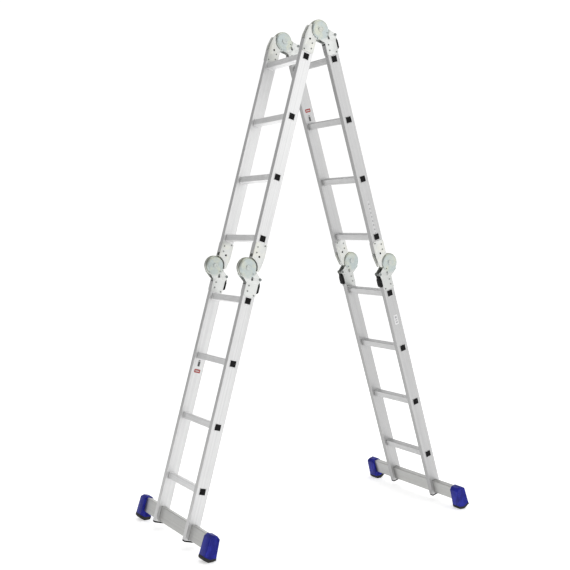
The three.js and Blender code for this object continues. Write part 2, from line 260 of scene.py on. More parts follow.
def zincPlate(name, cool, warm, amount=0.5, around=None, away=None):
    # plated steel; with around, the disc about that pin keeps this tint and the rest pales to away, and the
    # dish's sloped rim gets painted shade on its top and a painted shade line round its lower part
    finish = Finish(name, Metallic=1.0)
    cloud = finish.noise(finish.grid((0.3, 0.1, 0.6), (0.045, 0.045, 0.045)), 1.0, 4.0, 0.6, 0.8)
    bloom = finish.noise(finish.grid((0.9, 0.4, 0.1), (0.012, 0.012, 0.012)), 1.0, 3.0, 0.6, 1.5)
    grain = finish.noise(finish.grid(), 2600.0, 2.0, 0.6)
    rolled = finish.noise(finish.grid((0, 0, 0), (0.0006, 0.01, 0.02)), 1.0, 2.0, 0.5)
    scratchPlace = finish.grid((0.4, 1.2, 0.2), (0.0005, 0.0005, 0.014))
    scratch = finish.noise(scratchPlace, 1.0, 1.0, 0.4, 0.8).clip(0.69, 0.74)
    pit = 1 - finish.cells(finish.grid(), 520.0).clip(0.03, 0.12)
    mask = (cloud * 0.7 + bloom * 0.3 + (amount - 0.5) * 0.4).clip(0.40, 0.62)
    base = finish.tint(mask, cool, warm)
    if around:
        parts = finish.grid(shift=tuple(around))
        across, up = (finish.node("SeparateXYZ", None, {0: parts}, out) for out in (0, 2))
        reach = (across * across + up * up) ** 0.5
        base = finish.tint((reach + bloom * 0.006).clip(0.041, 0.056), base, away)
        # painted shade: the top of the dish's sloped rim is painted a darker olive
        paintedTopRimShade = reach.clip(0.030, 0.044) * up.clip(0.010, 0.040) * (1 - reach.clip(0.046, 0.048))
        base = finish.tint(paintedTopRimShade * 0.5, base, (0.43, 0.44, 0.31))
        # painted shade: a dark line is painted round the lower part of the rim
        ring = reach.clip(0.0412, 0.0436) * (1 - reach.clip(0.0452, 0.0462)) * up.clip(-0.040, -0.020)
        base = finish.tint(ring * 0.7, base, (0.20, 0.205, 0.15))
    base = finish.tint(bloom.clip(0.48, 0.72) * 0.30, base, [min(1, c * 1.18) for c in cool])
    base = finish.tint(scratch * 0.5, base, (0.88, 0.89, 0.87))
    base = finish.tint(pit * bloom.clip(0.5, 0.65) * 0.6, base, (0.36, 0.37, 0.34))
    rough = 0.36 + bloom * 0.18 + grain * 0.05 - scratch * 0.10
    relief = finish.bump(grain, 0.00003, 0.5)
    relief = finish.bump(rolled, 0.00004, 0.4, relief)
    relief = finish.bump(1 - scratch - pit * 0.5, 0.00005, 0.5, relief)
    return finish.wear(Base_Color=base, Roughness=rough, Normal=relief)


def brightSteel(name, base=(0.62, 0.63, 0.62)):
    finish = Finish(name, Metallic=1.0)
    grain = finish.noise(finish.grid(), 1900.0, 3.0, 0.6)
    cloud = finish.noise(finish.grid(), 120.0, 3.0, 0.6)
    tone = finish.tint(cloud.clip(0.35, 0.65), [c * 0.72 for c in base], base)
    tone = finish.tint(grain.clip(0.60, 0.70) * 0.5, tone, (0.86, 0.86, 0.85))
    return finish.wear(
        Base_Color=tone,
        Roughness=0.28 + cloud * 0.22,
        Normal=finish.bump(grain, 0.00004, 0.5),
    )


def mouldedPlastic(
    name, dark, light, gloss, grainSize=1500.0, grainDepth=0.00005, dusty=(0.3, 0.3, 0.3), dust=0.1
):
    # a moulded skin: fine grain, slow flow marks, pale rubs and a little dust in patches
    finish = Finish(name, Metallic=0.0)
    finish.shader.inputs["Specular IOR Level"].default_value = 0.14
    grain = finish.noise(finish.grid(), grainSize, 2.0, 0.65)
    leather = finish.cells(finish.grid(), grainSize * 0.55)
    flow = finish.noise(finish.grid((0.2, 0.1, 0.5), (0.03, 0.02, 0.05)), 1.0, 3.0, 0.5, 1.0)
    rubPlace = finish.grid((0.7, 0.3, 1.0), (0.001, 0.012, 0.001))
    rub = finish.noise(rubPlace, 1.0, 2.0, 0.5, 1.5).clip(0.64, 0.74)
    dirt = finish.noise(finish.grid(), 60.0, 5.0, 0.65).clip(0.52, 0.74)
    base = finish.tint(flow.clip(0.35, 0.65), dark, light)
    base = finish.tint(rub * 0.22, base, [min(1, c * 1.9 + 0.05) for c in light])
    base = finish.tint(dirt * dust, base, dusty)
    rough = gloss + grain * 0.08 + dirt * 0.12 - rub * 0.06
    relief = finish.bump(leather, grainDepth, 0.5)
    relief = finish.bump(grain, grainDepth * 0.6, 0.5, relief)
    return finish.wear(Base_Color=base, Roughness=rough, Normal=relief)


def blueMoulding(name):
    material = mouldedPlastic(
        name,
        dark=(0.010, 0.012, 0.190),
        light=(0.019, 0.024, 0.330),
        gloss=0.38,
        grainSize=1100.0,
        grainDepth=0.00004,
        dusty=(0.20, 0.21, 0.36),
        dust=0.09,
    )
    return material


def soleRubber(name):
    finish = Finish(name, Metallic=0.0)
    grain = finish.noise(finish.grid(), 900.0, 4.0, 0.7)
    crumb = finish.cells(finish.grid(), 420.0)
    chalk = finish.noise(finish.grid(), 45.0, 5.0, 0.7).clip(0.50, 0.78)
    base = finish.tint(grain.clip(0.3, 0.7), (0.006, 0.006, 0.006), (0.018, 0.018, 0.019))
    base = finish.tint(chalk * 0.22, base, (0.16, 0.155, 0.15))
    relief = finish.bump(crumb, 0.00012, 0.5)
    relief = finish.bump(grain, 0.00010, 0.6, relief)
    return finish.wear(Base_Color=base, Roughness=0.72 + grain * 0.16, Normal=relief)


def labelPaper(name, ground, ink, place, height, bars):
    # a printed label with plain bars and no lettering; place is a matrix with the label in its x-z plane
    finish = Finish(name, Metallic=0.0)
    finish.shader.inputs["Coat Weight"].default_value = 0.25
    turn = place.to_euler()
    spot = finish.node(
        "Mapping",
        {"vector_type": "TEXTURE"},
        {"Vector": finish.node("TexCoord", out=3), "Location": place.translation, "Rotation": turn},
    )
    parts = finish.tree.nodes.new("ShaderNodeSeparateXYZ")
    finish.tree.links.new(spot.socket, parts.inputs[0])
    across, up = Wire(finish, parts.outputs[0]), Wire(finish, parts.outputs[2])
    mask = None
    for low, high, left, right in bars:
        rows = (up / height).clip(low - 0.01, low + 0.01)
        rows = rows * (1 - (up / height).clip(high - 0.01, high + 0.01))
        columns = (across / height).clip(left - 0.01, left + 0.01) * (
            1 - (across / height).clip(right - 0.01, right + 0.01)
        )
        mask = rows * columns if mask is None else mask + rows * columns
    fibre = finish.noise(finish.grid(), 1400.0, 3.0, 0.6)
    fade = finish.noise(finish.grid(), 90.0, 4.0, 0.6)
    base = finish.tint(mask.clip(0.2, 0.8) * (0.75 + fade * 0.4), ground, ink)
    base = finish.tint(fade.clip(0.5, 0.8) * 0.18, base, (0.62, 0.60, 0.55))
    return finish.wear(
        Base_Color=base,
        Roughness=0.40 + fibre * 0.2,
        Normal=finish.bump(fibre, 0.00002, 0.4),
    )


legTurn = {"rear": (0, -lean, 0), "front": (0, lean, 0)}
# how bright each tube is, leg by leg, with painted shade: the rear leg's tubes are painted darker than the
# front's; edge is the painted shade of the narrow faces against the wide ones
tubeShadedTone = {
    "front": {"stile": 0.75, "rung": 0.95, "bar": 0.61, "edge": 0.97},
    "rear": {"stile": 0.57, "rung": 0.64, "bar": 0.53, "edge": 0.74},
}


def tubeFinish(leg, part, along, tint=(1, 1, 1)):
    light = [tubeShadedTone[leg][part] * t for t in tint]
    dark = [c * 0.84 for c in light]
    way = legPlace(leg).to_3x3() @ Vector((1, 0, 0))
    # painted shade for the narrow faces, on the stiles only
    edge = tubeShadedTone[leg]["edge"] if part == "stile" else 1.0
    return drawnAluminium(f"{leg}{part.title()}Aluminium", legTurn[leg], light, dark, along, edge, way)


# painted shade: the rear leg's copies of the aluminium are painted darker than the front's
stileFinish = {leg: tubeFinish(leg, "stile", "z") for leg in legTurn}
rungFinish = {leg: tubeFinish(leg, "rung", "y") for leg in legTurn}
barFinish = {leg: tubeFinish(leg, "bar", "y", (1, 1, 0.975)) for leg in legTurn}
hingePins = {name: cheekPlace(name, "left").translation for name in ("top", "front", "rear")}
cheekZinc = {
    name: zincPlate(
        f"{name}CheekZinc",
        cool=(0.50, 0.555, 0.55),
        warm=(0.60, 0.615, 0.52),
        amount=0.42,
        around=(pin.x, 0, pin.z),
        # painted shade: the rear hinge's cheeks are painted darker away from the disc, like the rear leg
        away=(0.70, 0.71, 0.695) if name != "rear" else (0.60, 0.61, 0.595),
    )
    for name, pin in hingePins.items()
}
armZinc = zincPlate("armZinc", cool=(0.68, 0.69, 0.675), warm=(0.72, 0.72, 0.665), amount=0.45)
pinSteel = zincPlate("pinZinc", cool=(0.53, 0.57, 0.56), warm=(0.60, 0.60, 0.53), amount=0.4)
leverSteel = zincPlate("leverZinc", cool=(0.22, 0.24, 0.24), warm=(0.29, 0.29, 0.26), amount=0.4)
rivetSteel = brightSteel("rivetSteel", (0.24, 0.25, 0.24))
springSteel = brightSteel("springSteel", (0.20, 0.20, 0.21))
plugBlack = mouldedPlastic("plugBlack", (0.002, 0.002, 0.002), (0.006, 0.006, 0.0065), 0.50, dust=0.02)
gripBlack = mouldedPlastic(
    "gripBlack",
    (0.003, 0.003, 0.0032),
    (0.009, 0.009, 0.0095),
    0.44,
    grainSize=1300.0,
    grainDepth=0.00009,
    dust=0.05,
)
capBlue = blueMoulding("capBlue")
soleBlack = soleRubber("soleBlack")
print("finishes: mixed", len(bpy.data.materials))


# bench tools


def putDown():
    if bpy.context.mode != "OBJECT":
        bpy.ops.object.mode_set(mode="OBJECT")
    bpy.ops.object.select_all(action="DESELECT")


def pickUp(*pieces):
    putDown()
    for piece in pieces:
        piece.select_set(True)
    bpy.context.view_layer.objects.active = pieces[0]


def edit(piece):
    pickUp(piece)
    bpy.ops.object.mode_set(mode="EDIT")


def choose(piece, kind, rule):
    bpy.ops.mesh.select_mode(type=kind)
    bpy.ops.mesh.select_all(action="DESELECT")
    net = bmesh.from_edit_mesh(piece.data)
    parts = {"VERT": net.verts, "EDGE": net.edges, "FACE": net.faces}[kind]
    found = 0
    for part in parts:
        if rule(part):
            part.select_set(True)
            found += 1
    bmesh.update_edit_mesh(piece.data)
    return found


def centre(part):
    return sum((v.co for v in part.verts), Vector()) / len(part.verts)


def runsAlong(edge, axis):
    step = edge.verts[1].co - edge.verts[0].co
    return abs(step[axis]) > 0.98 * step.length


def shift(x=0.0, y=0.0, z=0.0):
    bpy.ops.transform.translate(value=(x, y, z))


def newBlock(name, low, high):
    putDown()
    low, high = Vector(low), Vector(high)
    bpy.ops.mesh.primitive_cube_add(size=1, location=(low + high) / 2, scale=high - low)
    piece = bpy.context.active_object
    piece.name = name
    bpy.ops.object.transform_apply(location=True, rotation=True, scale=True)
    return piece


def newRod(name, x, z, radius, reach, sides=32, start=None):
    # a rod along y, from -reach to reach, or from start to reach
    putDown()
    first = -reach if start is None else start
    bpy.ops.mesh.primitive_cylinder_add(
        vertices=sides,
        radius=radius,
        depth=reach - first,
        location=(x, (first + reach) / 2, z),
        rotation=(math.pi / 2, 0, 0),
    )
    piece = bpy.context.active_object
    piece.name = name
    bpy.ops.object.transform_apply(location=True, rotation=True, scale=True)
    return piece


def drawLine(name, start, steps, flat="y"):
    # walks a point round an outline: a step is a place, or an arc as (centre, degrees, number of sides)
    putDown()
    bpy.ops.mesh.primitive_plane_add(size=0.001)
    piece = bpy.context.active_object
    piece.name = name
    bpy.ops.object.mode_set(mode="EDIT")
    bpy.ops.mesh.select_mode(type="VERT")
    bpy.ops.mesh.select_all(action="SELECT")
    bpy.ops.mesh.merge(type="CENTER")

    def place(pair):
        return Vector((pair[0], 0, pair[1])) if flat == "y" else Vector((pair[0], pair[1], 0))

    # the spin tool turns the other way round its axis, so the axis it gets is reversed
    axis = Vector((0, -1, 0) if flat == "y" else (0, 0, 1))
    here = place(start)
    bpy.ops.transform.translate(value=here)
    for step in steps:
        if len(step) == 3:
            around = place(step[0])
            bpy.ops.mesh.spin(
                steps=step[2],
                angle=math.radians(step[1]),
                center=around,
                axis=-axis,
                use_normal_flip=False,
            )
            here = around + Matrix.Rotation(math.radians(step[1]), 3, axis) @ (here - around)
        else:
            bpy.ops.mesh.extrude_vertices_move(TRANSFORM_OT_translate={"value": place(step) - here})
            here = place(step)
    bpy.ops.mesh.select_all(action="SELECT")
    bpy.ops.mesh.remove_doubles(threshold=0.00002)
    return piece


def closeLine(piece):
    # joins the line's two ends
    choose(piece, "VERT", lambda v: len(v.link_edges) == 1)
    if any(v.select for v in bmesh.from_edit_mesh(piece.data).verts):
        bpy.ops.mesh.edge_face_add()
    bpy.ops.mesh.select_all(action="SELECT")


def cutPlate(name, start, steps, low, high):
    # a flat plate with the outline that the steps walk, from y = low to y = high
    piece = drawLine(name, start, steps)
    closeLine(piece)
    bpy.ops.mesh.edge_face_add()
    shift(y=low)
    bpy.ops.mesh.extrude_region_move(TRANSFORM_OT_translate={"value": (0, high - low, 0)})
    bpy.ops.mesh.select_all(action="SELECT")
    bpy.ops.mesh.normals_make_consistent(inside=False)
    putDown()
    return piece


def applyModifier(piece, kind, **settings):
    pickUp(piece)
    modifier = piece.modifiers.new(kind, kind)
    for name, value in settings.items():
        setattr(modifier, name, value)
    bpy.ops.object.modifier_apply(modifier=modifier.name)
    return piece


def carve(piece, *tools):
    for tool in tools:
        applyModifier(piece, "BOOLEAN", operation="DIFFERENCE", solver="EXACT", object=tool)
        bpy.data.objects.remove(tool)
    return piece


def weld(piece, *others):
    for other in others:
        applyModifier(piece, "BOOLEAN", operation="UNION", solver="EXACT", object=other)
        bpy.data.objects.remove(other)
    return piece


def gather(*pieces):
    pickUp(*pieces)
    bpy.ops.object.join()
    return bpy.context.active_object


def easeEdges(piece, width, segments=2, angle=32, smoothTo=35):
    edit(piece)
    bpy.ops.mesh.select_all(action="SELECT")
    bpy.ops.mesh.remove_doubles(threshold=0.000015)
    putDown()
    applyModifier(
        piece,
        "BEVEL",
        width=width,
        segments=segments,
        limit_method="ANGLE",
        angle_limit=math.radians(angle),
        use_clamp_overlap=True,
    )
    pickUp(piece)
    bpy.ops.object.shade_smooth_by_angle(angle=math.radians(smoothTo))
    return piece


def paint(piece, material):
    piece.data.materials.clear()
    piece.data.materials.append(material)


def fit(pattern, name, place, body, material, slotName, *nodes):
    # a copy of a finished pattern, put in its place on the ladder
    pickUp(pattern)
    bpy.ops.object.duplicate(linked=False)
    piece = bpy.context.active_object
    piece.name = name
    piece.data.name = name
    piece.matrix_world = place
    bpy.ops.object.transform_apply(location=True, rotation=True, scale=True)
    paint(piece, material)
    if nodes:
        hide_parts(*nodes)
    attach(piece, body)
    return piece


def putAway(*patterns):
    for pattern in patterns:
        bpy.data.objects.remove(pattern)


# stiles and cross bars: the CAD tubes stay, with eased edges


def dressTubes():
    for name, node in frame["nodes"].items():
        leg = name.split("_")[0]
        if "stile" in name:
            paint(node, stileFinish[leg])
        elif "stabiliser_bar" in name:
            paint(node, barFinish[leg])
        else:
            continue
        weldBy = node.modifiers.new("merge", "WELD")
        weldBy.merge_threshold = 0.00001
        ease = node.modifiers.new("ease", "BEVEL")
        ease.width = 0.0004
        ease.segments = 2
        ease.limit_method = "ANGLE"
        ease.angle_limit = math.radians(40)


dressTubes()
print("tubes: dressed")


# rungs

rungMake = {
    "size": 0.030,
    "length": 0.3416,
    "corner": 0.003,
    "wall": 0.0014,
    "pocket": 0.010,
    "grooves": 5,
    "groovePitch": 0.0042,
    "grooveWidth": 0.0015,
    "grooveDepth": 0.0006,
    "grooveEnd": 0.1380,
    "beadStart": 0.1395,
    "beadEnd": 0.1437,
    "beadHeight": 0.0011,
}


def makeRung():
    make = rungMake
    half = make["size"] / 2
    end = make["length"] / 2
    piece = newBlock("rungPattern", (-half, -end, -half), (half, end, half))
    edit(piece)
    choose(piece, "EDGE", lambda e: runsAlong(e, 1))
    bpy.ops.mesh.bevel(offset=make["corner"], segments=5, affect="EDGES")
    grooves = [(i - (make["grooves"] - 1) / 2) * make["groovePitch"] for i in range(make["grooves"])]
    for groove in grooves:
        for edge in (-0.5, 0.5):
            at = groove + edge * make["grooveWidth"]
            for axis in ((1, 0, 0), (0, 0, 1)):
                bpy.ops.mesh.select_all(action="SELECT")
                bpy.ops.mesh.bisect(plane_co=[at * a for a in axis], plane_no=axis)
    for at in (make["grooveEnd"], make["beadStart"], make["beadEnd"]):
        for way in (-1, 1):
            bpy.ops.mesh.select_all(action="SELECT")
            bpy.ops.mesh.bisect(plane_co=(0, way * at, 0), plane_no=(0, 1, 0))

    def inGroove(face):
        at = centre(face)
        if abs(at.y) > make["grooveEnd"] or abs(face.normal.y) > 0.5:
            return False
        if max(abs(face.normal.x), abs(face.normal.z)) < 0.99:
            return False
        across = at.z if abs(face.normal.x) > 0.99 else at.x
        return any(abs(across - groove) < make["grooveWidth"] * 0.4 for groove in grooves)

    choose(piece, "FACE", inGroove)
    bpy.ops.mesh.extrude_region_shrink_fatten(TRANSFORM_OT_shrink_fatten={"value": -make["grooveDepth"]})
    choose(
        piece,
        "FACE",
        lambda f: make["beadStart"] < abs(centre(f).y) < make["beadEnd"] and abs(f.normal.y) < 0.5,
    )
    bpy.ops.mesh.extrude_region_shrink_fatten(TRANSFORM_OT_shrink_fatten={"value": make["beadHeight"]})
    choose(piece, "FACE", lambda f: abs(f.normal.y) > 0.9 and abs(centre(f).y) > end - 0.001)
    bpy.ops.mesh.inset(thickness=make["wall"])
    bpy.ops.mesh.extrude_region_shrink_fatten(TRANSFORM_OT_shrink_fatten={"value": -make["pocket"]})
    putDown()
    return easeEdges(piece, 0.00022, 2, 40, 30)


plugMake = {"size": 0.0271, "start": 0.1612, "face": 0.1722, "corner": 0.0022, "rim": 0.0026, "dish": 0.0008}


def makeRungPlug():
    make = plugMake
    half = make["size"] / 2
    piece = newBlock("plugPattern", (-half, make["start"], -half), (half, make["face"], half))
    edit(piece)
    choose(piece, "FACE", lambda f: f.normal.y > 0.9)
    bpy.ops.mesh.inset(thickness=make["rim"])
    bpy.ops.mesh.inset(thickness=0.0006)
    shift(y=-make["dish"])
    bpy.ops.mesh.inset(thickness=0.0046)
    bpy.ops.mesh.inset(thickness=0.0005)
    shift(y=make["dish"] * 0.6)
    choose(piece, "EDGE", lambda e: runsAlong(e, 1) and abs(centre(e).x) > half - 0.0001)
    bpy.ops.mesh.bevel(offset=make["corner"], segments=4, affect="EDGES")
    putDown()
    return easeEdges(piece, 0.0005, 2, 50, 30)


def fitRungs():
    rung, plug = makeRung(), makeRungPlug()
    for leg in legTurn:
        for part, section in enumerate(("upper", "lower")):
            for i in range(ladder["rungsPerSection"]):
                down = (i + 0.5 + part * ladder["rungsPerSection"]) * rungPitch
                place = legPlace(leg) @ moved(ladder["pinOffset"], 0, -down)
                node = f"{leg}_{section}_rung_{i + 1}"
                body = f"{leg}_{section}"
                fit(rung, f"{node}_tread", place, body, rungFinish[leg], "aluminium", node)
                for side in ("left", "right"):
                    facing = turned(0 if sideway(leg, side) > 0 else 180, "Z")
                    fit(plug, f"{node}_plug_{side}", place @ facing, body, plugBlack, "black_plastic")
    putAway(rung, plug)


fitRungs()
print("rungs: fitted")


# hinges, in the hinge's frame: the pin at the origin, its section hanging down

cheekMake = {
    "hole": 0.0083,
    "plateau": 0.0385,
    "rim": 0.0450,
    "rimInside": 0.0054,
    "flankFoot": 0.0102,
    "wall": 0.0025,
    "armEnd": -0.120,
    "armNear": 0.008,
    "armFar": 0.068,
    "tip": 0.006,
    "neckCorner": -0.062,
    "neckStart": -0.049,
    "neckSteps": 4,
    "neckDrop": 0.0028,
    "ear": 0.008,
    "skirtLength": 0.0100,
    "window": (0.029, -0.021, 0.0027),
    "slotHalf": 0.0046,
    "slotTurn": 13,
}


def pressDish():
    # one dished half over the core disc
    make = cheekMake
    outer, inner, wall = ladder["cheekSide"], ladder["cheekInside"], make["wall"]
    piece = drawLine(
        "dish",
        (make["hole"], inner),
        [
            (make["plateau"] - 0.0010, inner),
            (make["rim"] - wall, make["flankFoot"] - 0.0006),
            (make["rim"] - wall, make["rimInside"]),
            (make["rim"], make["rimInside"]),
            (make["rim"], make["flankFoot"]),
            (make["plateau"], outer),
            (make["hole"], outer),
        ],
        flat="z",
    )
    closeLine(piece)
    choose(piece, "VERT", lambda v: (v.co.xy - Vector((make["rim"], make["flankFoot"]))).length < 1e-5)
    bpy.ops.mesh.bevel(offset=0.0026, segments=4, affect="VERTICES")
    choose(piece, "VERT", lambda v: (v.co.xy - Vector((make["plateau"], outer))).length < 1e-5)
    bpy.ops.mesh.bevel(offset=0.0028, segments=4, affect="VERTICES")
    bpy.ops.mesh.select_all(action="SELECT")
    bpy.ops.mesh.spin(steps=96, angle=2 * math.pi, center=(0, 0, 0), axis=(0, 1, 0))
    bpy.ops.mesh.select_all(action="SELECT")
    bpy.ops.mesh.remove_doubles(threshold=0.00002)
    bpy.ops.mesh.normals_make_consistent(inside=False)
    putDown()
    return piece


def touchAngle(x, z, radius, side):
    # where a line from a point touches a circle round the pin, in degrees
    return math.degrees(math.atan2(z, x) + side * math.acos(radius / math.hypot(x, z)))


def polar(radius, degrees):
    return (radius * math.cos(math.radians(degrees)), radius * math.sin(math.radians(degrees)))


def pressNeck():
    # the neck and arm: a flat plate bent in, in small steps, to lie on the stile
    make = cheekMake
    pinX, pinZ = ladder["leverPin"]
    touch = touchAngle(make["armNear"], make["neckCorner"], make["rim"] - 0.0006, -1)
    earStart = tuple(Vector((pinX, pinZ)) + Vector(polar(make["ear"], -55)))
    piece = cutPlate(
        "neck",
        (make["armNear"] + make["tip"], make["armEnd"]),
        [
            (make["armFar"] - make["tip"], make["armEnd"]),
            (make["armFar"], make["armEnd"] + make["tip"]),
            (make["armFar"], make["neckCorner"]),
            earStart,
            ((pinX, pinZ), 165, 14),
            polar(make["rim"] - 0.0012, -12),
            polar(make["plateau"] * 0.8, 10),
            polar(make["plateau"] * 0.5, touch - 60),
            polar(make["plateau"] * 0.8, touch - 8),
            polar(make["rim"] - 0.0006, touch),
            (make["armNear"], make["neckCorner"]),
            (make["armNear"], make["armEnd"] + make["tip"]),
        ],
        ladder["cheekInside"],
        ladder["cheekSide"],
    )
    edit(piece)
    steps = make["neckSteps"]
    lines = [make["neckStart"] - 0.0085 * i / steps for i in range(steps + 1)]
    for line in lines:
        bpy.ops.mesh.select_all(action="SELECT")
        bpy.ops.mesh.bisect(plane_co=(0, 0, line), plane_no=(0, 0, 1))
    shares = [(1 - math.cos(math.pi * i / steps)) / 2 for i in range(steps + 1)]
    for i in range(1, steps + 1):
        choose(piece, "VERT", lambda v: v.co.z < lines[i] + 0.00001)
        shift(y=-make["neckDrop"] * (shares[i] - shares[i - 1]))
    putDown()
    return piece


def pressSkirt():
    # the side wall along the neck's near edge
    make = cheekMake
    touch = touchAngle(make["armNear"], make["neckCorner"], make["rim"], -1)
    start = Vector(polar(make["rim"], touch))
    along = (Vector((make["armNear"], make["neckCorner"])) - start).normalized()
    inward = Vector((-along.y, along.x))
    last = start + along * make["skirtLength"]
    first = start + along * 0.0002
    return cutPlate(
        "skirt",
        tuple(first),
        [tuple(last), tuple(last + inward * make["wall"]), tuple(first + inward * make["wall"])],
        make["rimInside"] + 0.0012,
        ladder["cheekSide"] - 0.0006,
    )


def lockSlot(low, high):
    make = cheekMake
    pin, bar = Vector(ladder["leverPin"]), Vector(ladder["lockBar"])
    arm = bar - pin
    start = math.degrees(math.atan2(arm.y, arm.x))
    outer, inner = arm.length + make["slotHalf"], arm.length - make["slotHalf"]
    first = pin + Vector(polar(outer, start))
    farEnd = pin + Vector(polar(arm.length, start + make["slotTurn"]))
    return cutPlate(
        "slot",
        tuple(first),
        [
            (tuple(pin), make["slotTurn"], 4),
            (tuple(farEnd), 180, 10),
            (tuple(pin), -make["slotTurn"], 4),
            (tuple(bar), 180, 10),
        ],
        low,
        high,
    )


def pressCheeks():
    make = cheekMake
    pinX, pinZ = ladder["leverPin"]
    cheek = weld(pressDish(), pressNeck(), pressSkirt())
    carve(
        cheek,
        newRod("leverHole", pinX, pinZ, 0.0043, 0.03, 24, 0.0),
        newRod("window", *make["window"], 0.03, 20, 0.010),
        newRod("linkRoom", *ladder["lockBar"], 0.0068, 0.0100, 24, 0.0040),
        lockSlot(0.004, 0.03),
    )
    easeEdges(cheek, 0.0005, 2, 34, 30)
    applyModifier(cheek, "MIRROR", use_axis=(False, True, False), use_mirror_merge=False)
    spacer = newRod("spacer", 0.020, -0.064, 0.0050, ladder["armInside"] + 0.0006, 24)
    easeEdges(spacer, 0.0004, 2)
    cheek = gather(cheek, spacer)
    cheek.name = "cheekPattern"
    return cheek


armMake = {
    "coreRadius": 0.0438,
    "coreHalf": 0.0048,
    "rimRoom": 0.0468,
    "webOuter": 0.0530,
    "shoulder": (0.057, 0.006),
    "shoulderEnd": -0.046,
    "notch": 0.0042,
    "notchTurns": (0, 45, 90, 180),
    "hole": (0.0408, -0.059, 0.0048),
}


def pressInnerArm():
    make, arm = armMake, cheekMake
    top = math.degrees(math.asin(make["shoulder"][1] / make["rimRoom"]))
    low = -math.degrees(math.acos(arm["armNear"] / make["rimRoom"]))
    plate = cutPlate(
        "plate",
        (arm["armNear"] + arm["tip"], arm["armEnd"]),
        [
            (arm["armFar"] - arm["tip"], arm["armEnd"]),
            (arm["armFar"], arm["armEnd"] + arm["tip"]),
            (arm["armFar"], make["shoulderEnd"]),
            (make["shoulder"][0] + 0.0028, -0.006),
            (make["shoulder"][0] - 0.0015, make["shoulder"][1]),
            polar(make["rimRoom"], top),
            ((0, 0), low - top, 26),
            (arm["armNear"], arm["armEnd"] + arm["tip"]),
        ],
        ladder["armInside"],
        ladder["armOutside"],
    )
    web = cutPlate(
        "web",
        polar(make["rimRoom"], top - 1),
        [((0, 0), low - top + 1.5, 26), polar(make["webOuter"], low + 0.5), ((0, 0), top - low - 4, 26)],
        -0.0006,
        ladder["armInside"] + 0.0008,
    )
    plate = weld(plate, web)
    carve(plate, newRod("holeTool", make["hole"][0], make["hole"][1], make["hole"][2], 0.03, 28, 0.0))
    easeEdges(plate, 0.0005, 2, 34, 30)
    applyModifier(plate, "MIRROR", use_axis=(False, True, False), use_mirror_merge=False)
    core = newRod("core", 0, 0, make["coreRadius"], make["coreHalf"], 96)
    bridge = cutPlate(
        "bridge",
        polar(make["coreRadius"] - 0.006, top - 2),
        [
            ((0, 0), low - top + 4, 20),
            polar(make["webOuter"] - 0.0008, low + 2),
            ((0, 0), top - low - 4, 20),
        ],
        -make["coreHalf"],
        make["coreHalf"],
    )
    core = weld(core, bridge)
    barX, barZ = ladder["lockBar"]
    barAngle = math.degrees(math.atan2(barZ, barX))
    notches = []
    for turn in make["notchTurns"]:
        x, z = polar(make["coreRadius"] + 0.0012, 180 - barAngle + turn)
        notches.append(newRod("notch", x, z, make["notch"], 0.01, 20))
    carve(core, newRod("bore", 0, 0, arm["hole"], 0.01, 40), *notches)
    easeEdges(core, 0.0004, 2, 34, 30)
    both = gather(plate, core)
    both.name = "innerArmPattern"
    return both


pinMake = {
    "shank": 0.0080,
    "head": 0.0125,
    "inner": 0.0184,
    "edge": 0.0196,
    "crown": 0.0208,
    "dimple": 0.0035,
}


def turnPivotPin():
    # a riveted pin: shallow domed heads with a dimple where the tool closed them
    make = pinMake
    half = [
        (make["dimple"] * 0.5, make["crown"] - 0.0007),
        (make["dimple"], make["crown"]),
        (make["head"] * 0.62, make["crown"] - 0.0001),
        (make["head"] * 0.86, make["edge"] + 0.0006),
        (make["head"], make["edge"] - 0.0004),
        (make["head"], make["inner"]),
        (make["shank"], make["inner"]),
    ]
    lower = [(x, -y) for x, y in reversed(half)]
    piece = drawLine(
        "pinPattern",
        (0, make["crown"] - 0.0008),
        [*half, *lower, (0, 0.0008 - make["crown"])],
        flat="z",
    )
    bpy.ops.mesh.select_all(action="SELECT")
    bpy.ops.mesh.spin(steps=48, angle=2 * math.pi, center=(0, 0, 0), axis=(0, 1, 0))
    bpy.ops.mesh.select_all(action="SELECT")
    bpy.ops.mesh.remove_doubles(threshold=0.00002)
    bpy.ops.mesh.normals_make_consistent(inside=False)
    putDown()
    return easeEdges(piece, 0.0003, 2, 40, 30)


leverMake = {
    "half": 0.0090,
    "plate": 0.0026,
    "end": 0.006,
    "barRadius": 0.0040,
    "barReach": 0.0178,
    "pinReach": 0.0196,
    "headRadius": 0.0062,
    "tabNear": 0.0710,
    "tabFar": 0.0734,
    "tabEnd": -0.095,
}


def bendLever():
    make = leverMake
    (pinX, pinZ), (barX, barZ) = ladder["leverPin"], ladder["lockBar"]
    cheeks = [
        cutPlate(
            "link",
            (barX, barZ - make["end"]),
            [
                (pinX, pinZ - make["end"]),
                ((pinX, pinZ), 180, 14),
                (barX, barZ + make["end"]),
                ((barX, barZ), 180, 14),
            ],
            low,
            high,
        )
        for low, high in (
            (make["half"] - make["plate"], make["half"]),
            (-make["half"], make["plate"] - make["half"]),
        )
    ]
    tab = newBlock(
        "tab",
        (make["tabNear"], -make["half"], make["tabEnd"]),
        (make["tabFar"], make["half"], pinZ),
    )
    piece = weld(
        cheeks[0],
        cheeks[1],
        tab,
        newRod("bar", barX, barZ, make["barRadius"], make["barReach"], 28),
        newRod("pin", pinX, pinZ, make["barRadius"], make["pinReach"], 28),
        newRod("head", pinX, pinZ, make["headRadius"], make["pinReach"], 36, ladder["cheekSide"] + 0.0003),
        newRod("head", pinX, pinZ, make["headRadius"], -ladder["cheekSide"] - 0.0003, 36, -make["pinReach"]),
    )
    piece.name = "leverPattern"
    return easeEdges(piece, 0.0004, 2, 40, 30)


gripMake = {
    "inner": 0.0687,
    "outer": 0.0794,
    "top": -0.046,
    "step": -0.058,
    "wide": -0.063,
    "bottom": -0.101,
    "half": 0.0140,
    "neckShare": 0.76,
    "ribs": 6,
    "ribPitch": 0.0052,
    "ribHeight": 0.0008,
}


